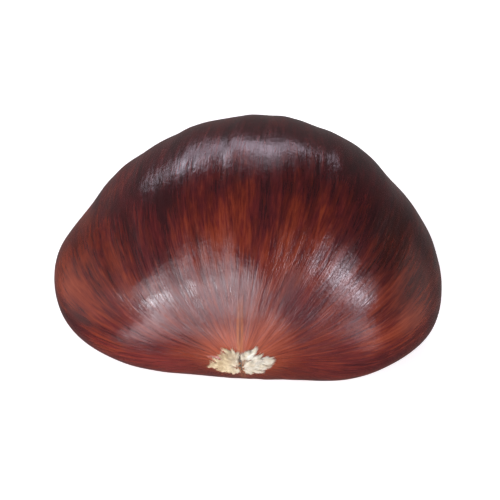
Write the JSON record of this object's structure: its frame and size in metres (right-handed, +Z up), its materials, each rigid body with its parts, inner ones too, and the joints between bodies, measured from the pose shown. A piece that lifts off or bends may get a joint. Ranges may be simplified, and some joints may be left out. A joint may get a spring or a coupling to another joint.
{
  "type": "chestnut",
  "caption": "Sweet chestnut in its glossy brown shell, lying on its flat belly, with a downy pointed apex and a rough scar at the other end.",
  "frame": {"origin": "on the surface that the nut rests on, under the middle of its bounding box", "axes": "+X across the nut's width, +Y from the apex towards the scar, +Z up out of the rounded back"},
  "size_m": [0.0384, 0.029, 0.0239],
  "materials": {
    "shell": "polished mahogany shell with fine streaks from apex to scar, orange-brown near both ends; the scar is matt grey-brown",
    "down": "short matt cream hairs on both sides of the apex"
  },
  "bodies": {
    "root": {"nut": "shell"}
  },
  "joints": []
}
